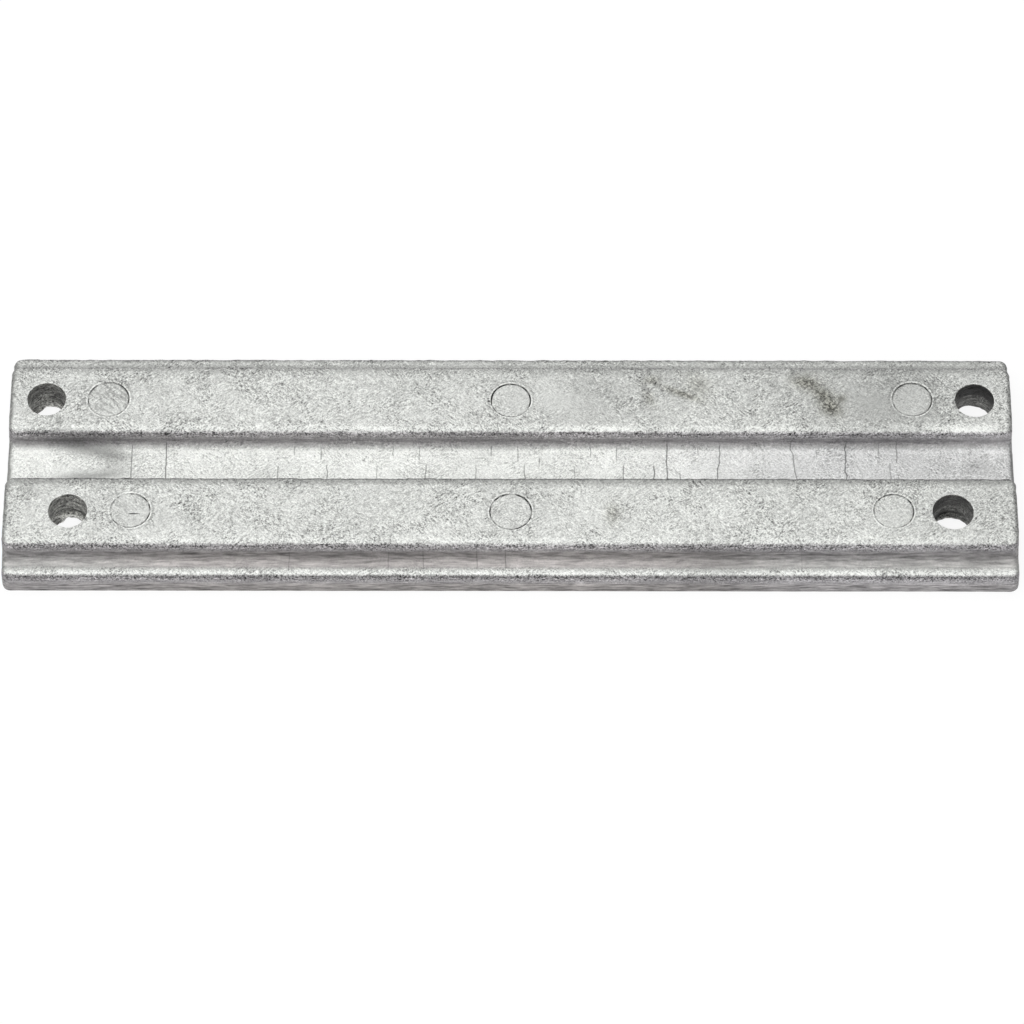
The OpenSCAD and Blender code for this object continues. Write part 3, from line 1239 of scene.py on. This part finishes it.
@dataclass(frozen=True)
class Studio:
    """The floor, the lights and the camera, with the photograph's view fitted to the bar."""

    elevation: float = 57.25
    distance: float = 1.068
    focal_px: float = 5104.0
    origin_px: tuple[float, float] = (510.5, 480.4)
    roll: float = 0.101
    frame_px: float = 1024.0
    sensor: float = 36.0
    floor_half: float = 3.0
    floor_gap: float = 0.0001
    floor_grey: float = 0.12
    floor_glow: float = 0.9
    room_grey: float = 0.25

    @staticmethod
    def _looking(place: Vector, aim: Vector) -> Matrix:
        """Stands at a place and looks at an aim, with the top upwards."""
        return Matrix.Translation(place) @ (aim - place).to_track_quat("-Z", "Y").to_matrix().to_4x4()

    def camera(self) -> None:
        """Places the camera, so that the middle of the bar's underside falls on its pixel."""
        tilt = math.radians(self.elevation)
        eye = self.distance * Vector((0.0, -math.cos(tilt), math.sin(tilt)))
        up = Vector((0.0, math.sin(tilt), math.cos(tilt)))
        scale = self.distance / self.focal_px
        across, down = (self.frame_px / 2.0 - place for place in self.origin_px)
        aim = Vector((across * scale, 0.0, 0.0)) - up * down * scale
        data = bpy.data.cameras.new("camera")
        data.sensor_width = self.sensor
        data.lens = self.focal_px * self.sensor / self.frame_px
        data.clip_start = 0.01
        camera = put_in_scene("camera", data)
        camera.matrix_world = self._looking(eye, aim) @ Matrix.Rotation(math.radians(self.roll), 4, "Z")
        bpy.context.scene.camera = camera

    def floor(self) -> None:
        """Lays a plain white floor, lit from below as on a light table."""
        half, z = self.floor_half, -self.floor_gap
        mesh = bpy.data.meshes.new("floor")
        corners = [(-half, -half, z), (half, -half, z), (half, half, z), (-half, half, z)]
        mesh.from_pydata(corners, [], [(0, 1, 2, 3)])
        floor = put_in_scene("floor", mesh)
        tree = ShaderTree("floor_white")
        tree.finish({"Base Color": (*[self.floor_grey] * 3, 1.0), "Roughness": 0.9, "Specular IOR Level": 0.0,
                     "Emission Color": (1.0, 1.0, 1.0, 1.0), "Emission Strength": self.floor_glow})
        mesh.materials.append(tree.material)

    def light(self, name: str, place: tuple[float, float, float], size: tuple[float, float],
              power: float) -> None:
        """Hangs a soft box that faces the bar.

        Args:
            name: Its name.
            place: Its middle, in metres.
            size: Its width and height, in metres.
            power: Its power in watts.
        """
        data = bpy.data.lights.new(name, "AREA")
        data.shape = "RECTANGLE"
        data.size, data.size_y = size
        data.energy = power
        put_in_scene(name, data).matrix_world = self._looking(Vector(place), Vector())

    def build(self) -> None:
        """Sets the whole studio."""
        world = bpy.data.worlds.new("room")
        bpy.context.scene.world = world
        world.use_nodes = True
        world.node_tree.nodes["Background"].inputs["Color"].default_value = (*[self.room_grey] * 3, 1.0)
        bpy.context.scene.view_settings.view_transform = "Standard"
        self.light("key", (-0.2, 0.12, 0.94), (1.3, 0.7), 7.8)
        self.light("fill", (-0.1, -0.75, 0.58), (1.2, 0.35), 2.4)
        self.floor()
        self.camera()


def seen_holes(far_x: float, near_x: float) -> list[BoltHole]:
    """The four bolt holes, each with what shows in it.

    Args:
        far_x: From the middle of the bar to a hole of the far row.
        near_x: The same in the near row.

    Returns:
        The holes.
    """
    # Each hole's third number is its wall's paleness, kept low as painted shade in the deep bore; its shadow
    # and shelf settings add painted shadow and a painted highlight on the shelf
    return [
        BoltHole(Row.FAR, -far_x, 0.31, shelf=0.3, shelf_top=3.5, shelf_turn=60.0, shadow=0.4,
                 shadow_turn=90.0, flash=0.9),
        BoltHole(Row.FAR, far_x, 0.14, wider=0.08, shadow=0.9, shadow_turn=80.0),
        BoltHole(Row.NEAR, -near_x, 0.34, shelf=0.5, shelf_top=3.6, shelf_turn=70.0, flash=0.7),
        BoltHole(Row.NEAR, near_x, 0.15, wider=0.2, shelf=0.5, shelf_top=2.9, shelf_turn=110.0, shadow=0.5,
                 shadow_turn=125.0),
    ]


def seen_marks(far_x: float, near_x: float) -> list[PinMark]:
    """The six pin marks, each a little off its drawn place, as it is seen.

    Args:
        far_x: From the middle of the bar to an end mark of the far row.
        near_x: The same in the near row.

    Returns:
        The marks.
    """
    return [
        PinMark(Row.FAR, -far_x - 0.25, radius=4.25, burr_turn=45.0, scuffed=1.0),
        PinMark(Row.FAR, 0.05, -0.15, groove=0.36, burr=0.1, burr_turn=110.0, darkness=1.4),
        PinMark(Row.FAR, far_x + 0.15, 0.2, groove=0.28, burr_turn=60.0),
        PinMark(Row.NEAR, -near_x + 0.15, 0.1, burr_turn=-30.0, scuffed=0.3),
        PinMark(Row.NEAR, 0.05, -0.1, radius=4.3, groove=0.36, burr=0.09, darkness=1.5),
        PinMark(Row.NEAR, near_x + 0.45, 0.15),
    ]


def seen_groove_lines() -> list[HeatLine]:
    """Heat lines across the groove: four that come again at the pitch, and those that stand alone.

    Returns:
        The lines, from rows of x, lower and upper y, force, wander and lean.
    """
    repeated = [
        (-48.4, -6.0, 0.2, 0.6), (-45.1, 2.6, 4.7, 0.7), (-39.6, 1.3, 4.7, 0.7), (-38.2, -6.0, 0.4, 0.8),
    ]
    alone = [
        (-79.0, -6.0, 4.9, 0.8), (-71.8, -6.0, 5.2), (-2.6, 5.6, 8.4, 0.7), (6.0, 0.5, 2.0),
        (29.9, -6.0, 0.2, 1.0, 0.5), (32.6, -6.0, 5.3, 1.0, 0.3), (35.3, -6.0, -1.5, 0.7),
        (39.1, 2.5, 5.2, 0.4), (43.2, -6.0, 5.0, 1.0, 0.5, 0.12), (50.5, 2.5, 5.0, 0.3),
        (59.2, -6.0, 5.2, 0.8, 0.4, -0.14), (63.9, 2.5, 4.8, 0.3), (69.8, -6.0, 5.2, 1.0, 0.6),
        (76.8, 2.0, 5.2, 0.5), (79.1, -6.0, 1.0, 0.6), (80.6, 1.0, 5.3, 0.8, 0.5),
    ]
    lines = [HeatLine(x + PITCH * k, *rest) for k in range(4) for x, *rest in repeated]
    return lines + [HeatLine(*row) for row in alone]


def seen_ledge_lines() -> list[HeatLine]:
    """Heat lines across the near ledge, from the ridge's wall to near the ledge's edge."""
    forces = {-45.6: 0.4, -25.1: 0.4, -18.0: 0.45, -6.9: 0.5, -1.0: 0.6, 60.0: 0.2}
    return [HeatLine(x, -25.6, -22.2, force) for x, force in forces.items()]


def seen_scratches() -> list[Scratch]:
    """One scratch on the near ridge, and four in the groove at the pitch."""
    in_groove = [Scratch(PITCH * k - 48.9, PITCH * k - 46.2, 2.0, 0.5) for k in range(4)]
    return [Scratch(-78.8, -76.4, -14.5, 1.4), *in_groove]


def seen_blemishes() -> dict[str, list[Blotch]]:
    """Patches of metal that differ from the rest, by what is on them.

    Returns:
        Patches, under the names of the bar's fields that they go to. Each row holds the middle, the half
        sizes, the force and the turn.
    """
    rows = {
        "nodules": [(-32.5, 5.7, 1.1, 0.6, 1.8), (-94.3, 9.2, 0.7, 0.6, -1.0), (-94.0, 8.1, 0.7, 0.6, -1.0)],
        "beads": [
            (-90.0, 13.0, 1.6, 6.5), (-86.0, 8.4, 3.0, 1.2, 1.0, -20.0), (-73.7, -15.8, 1.2, 2.6),
            (-84.5, -9.0, 3.0, 1.3, 1.0, 35.0), (-79.0, 19.0, 3.0, 0.8), (-99.0, 6.2, 3.0, 1.0),
            (11.4, 5.8, 4.5, 0.9), (-32.6, 5.8, 1.6, 0.8), (-66.7, -13.0, 1.0, 4.5, 0.7),
            (77.0, 7.5, 2.5, 1.6, 0.7), (86.0, 6.2, 5.0, 0.6),
        ],
        "stains": [
            (61.8, 18.2, 2.8, 1.7, 1.0, -10.0), (65.2, 15.3, 2.2, 1.5, 0.9, -30.0),
            (66.9, 12.0, 2.4, 1.9, 1.1, -40.0), (69.2, 14.2, 1.0, 0.9, 0.7),
            (39.2, 17.4, 2.4, 3.0, 0.45, 20.0), (35.6, 15.4, 4.0, 0.7, 0.9, -24.0),
            (29.6, 18.8, 1.8, 1.0, 0.6, 10.0), (29.0, 14.2, 1.0, 2.0, 0.5, 20.0),
            (21.0, -14.5, 1.6, 2.4, 0.5),
        ],
        "worn": [
            (-88.5, 3.9, 9.0, 1.4), (-88.0, -2.2, 8.5, 1.6), (10.0, 14.0, 12.0, 6.0, 0.7),
            (-74.0, -16.0, 5.0, 4.0, 0.7), (15.0, -13.0, 8.0, 5.0, 0.6), (75.0, 14.5, 5.0, 5.0, 0.9),
            (0.0, 25.2, 500.0, 1.3, 0.2),
        ],
        "chips": [
            (14.0, 5.5, 8.0, 3.0), (103.0, -22.1, 3.0, 2.0, 0.8), (-33.0, 5.5, 2.0, 2.0, 0.4),
            (-38.0, -22.1, 6.0, 2.0, 0.7),
        ],
    }
    return {name: [Blotch(*row) for row in kind] for name, kind in rows.items()}


def seen_tones_and_shade() -> TonesAndShade:
    """How pale each kind of surface is painted, with painted shade on walls, sides and ends, and the strips
    and patches that stray from it.

    Returns:
        Paleness and painted shade, from 0 to 1, with the changes that the strips and patches make.
    """
    # Painted shade and highlights across the section: darker at the feet of walls, in the fillets, under
    # edges and on edges that face away, paler on edges that face up and on the groove floor by the far wall's
    # foot, and darker towards the bottom of the near side
    shading_bands = [
        # Far ledge and ridge, from the side of the plate to the groove
        (26.55, 5.4, 0.45, -0.25), (25.2, 5.5, 2.0, -0.12), (24.7, 5.5, 0.5, -0.2), (21.4, 9.8, 1.0, -0.16),
        (19.5, 9.8, 4.0, -0.04), (6.8, 9.8, 0.6, 0.1), (5.7, 9.6, 0.3, -0.05), (5.45, 9.2, 0.4, -0.12),
        (5.4, 7.0, 0.75, -0.22), (4.95, 5.9, 0.6, -0.17), (4.5, 5.5, 0.4, -0.14), (3.7, 5.5, 0.5, 0.18),
        # Near ridge and ledge, from the groove to the side of the plate
        (-5.65, 9.65, 0.35, -0.35), (-6.5, 9.8, 0.9, -0.26), (-20.8, 9.8, 0.6, 0.08),
        (-21.9, 9.5, 0.35, -0.15), (-22.0, 8.4, 0.9, 0.06), (-22.2, 7.0, 0.9, -0.12),
        (-23.3, 6.3, 1.1, -0.28), (-24.8, 5.5, 0.95, -0.36), (-26.0, 5.5, 0.45, 0.15),
        (-26.8, 5.2, 0.4, -0.28), (-27.2, 0.6, 1.2, -0.1),
    ]
    patches = [
        # Tops of the ridges
        (-5.2, 17.6, 2.2, 2.2, -0.14), (20.0, 14.0, 18.0, 9.0, -0.17), (0.0, 14.0, 4.0, 4.0, -0.1),
        (78.0, 14.0, 17.0, 10.0, -0.34), (1.4, -12.5, 0.7, 1.3, -0.15), (-3.0, -13.6, 0.6, 0.6, -0.4),
        (6.0, -12.0, 2.5, 4.0, -0.1), (32.0, -14.0, 14.0, 7.0, 0.05), (98.0, -14.0, 9.0, 8.0, -0.1),
        (-90.0, -14.0, 9.0, 8.0, -0.05), (-71.3, -15.8, 2.4, 1.8, -0.14), (-100.5, -8.0, 3.0, 3.0, -0.12),
        # Groove
        (-88.0, 3.9, 8.0, 1.7, -0.55, -10.0), (-82.5, 1.4, 3.4, 3.6, -0.32),
        (-88.0, -2.8, 8.0, 1.4, -0.5, 6.0), (60.0, 0.0, 22.0, 5.0, -0.1), (97.0, 0.0, 15.0, 5.0, -0.2),
        (96.5, 0.6, 2.2, 2.0, -0.16),
        # Far ridge's edge and wall on the groove, with painted highlights along the edge and at the wall's
        # foot and painted shade on the wall in places
        (-98.0, 5.5, 12.0, 1.0, -0.15), (-28.0, 6.4, 5.0, 0.7, 0.2), (-9.0, 6.4, 6.0, 0.7, 0.15),
        (-5.0, 5.5, 8.0, 1.0, -0.12), (16.0, 6.5, 7.0, 0.8, 0.3), (16.0, 4.9, 13.0, 0.9, 0.1),
        (55.0, 6.4, 8.0, 0.7, 0.12), (62.0, 4.9, 22.0, 1.0, 0.16), (94.0, 6.6, 6.0, 1.1, 0.6),
        (92.0, 4.9, 14.0, 1.0, 0.2), (102.0, 4.9, 3.5, 1.0, 0.25),
        # Near ridge's outer wall, the ledge under it and the side of the plate, with painted highlights along
        # the ridge's edge and on the ledge by the right end, and a painted shadow line in the fillet by the
        # right end
        (4.0, -22.3, 30.0, 0.5, 0.1), (80.0, -22.3, 16.0, 0.6, 0.12), (-35.0, -23.5, 14.0, 1.5, -0.12),
        (98.0, -23.7, 5.0, 0.6, -0.16, -6.0), (103.5, -23.6, 2.0, 1.0, 0.25), (0.0, -25.0, 14.0, 5.0, 0.12),
        (42.0, -25.0, 9.0, 5.0, -0.14), (76.0, -25.0, 18.0, 5.0, 0.1), (101.5, -24.9, 5.0, 0.7, 0.45),
        (97.0, -25.8, 2.5, 0.5, -0.12), (82.0, -27.0, 16.0, 0.6, 0.13),
    ]
    # Walls, sides and ends are painted darker than the level faces, as painted shade
    return TonesAndShade(top=0.693, groove=0.79, ledge=0.78, inner_wall=0.52, outer_wall=0.385, side=0.37, end=0.3,
                 under=0.6, shading_bands=[ShadingBand(*row) for row in shading_bands], patches=[Blotch(*row) for row in patches])


def bar_from_frame(far_mark_gap: float = 13.2, near_mark_gap: float = 12.7) -> BarCasting:
    """Reads the bar's box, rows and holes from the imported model, and adds what the photograph shows on it.

    Args:
        far_mark_gap: From a far hole to the end mark beside it, in millimetres.
        near_mark_gap: The same in the near row.

    Returns:
        The bar, ready to be built.
    """
    low, high = (np.array(corner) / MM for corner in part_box(NODE))
    mounts = {mount["name"]: mount for mount in frame["record"]["mounts"]}
    far, near = mounts["wide_bolts"], mounts["narrow_bolts"]
    far_x, near_x = (mount["dims"]["spacing_x_mm"] / 2.0 for mount in (far, near))
    return BarCasting(low, high, row_y=far["pos_m"][1] / MM, hole_r=far["dims"]["hole_r_mm"],
                      holes=seen_holes(far_x, near_x),
                      marks=seen_marks(far_x - far_mark_gap, near_x - near_mark_gap),
                      groove_lines=seen_groove_lines(), ledge_lines=seen_ledge_lines(),
                      scratches=seen_scratches(), tones_and_shade=seen_tones_and_shade(), **seen_blemishes())


def main() -> None:
    """Builds the bar and the studio round it, and logs how large the bar's mesh is."""
    logging.basicConfig(level=logging.INFO, format="%(name)s: %(message)s")
    Studio().build()
    bar = bar_from_frame().build()
    bar.data.materials.append(CastFinish().build())
    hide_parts(NODE)
    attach(bar, "root")
    triangles = sum(len(face.vertices) - 2 for face in bar.data.polygons)
    log.info("%s: %d vertices, %d triangles", bar.name, len(bar.data.vertices), triangles)


if __name__ == "__main__":
    main()
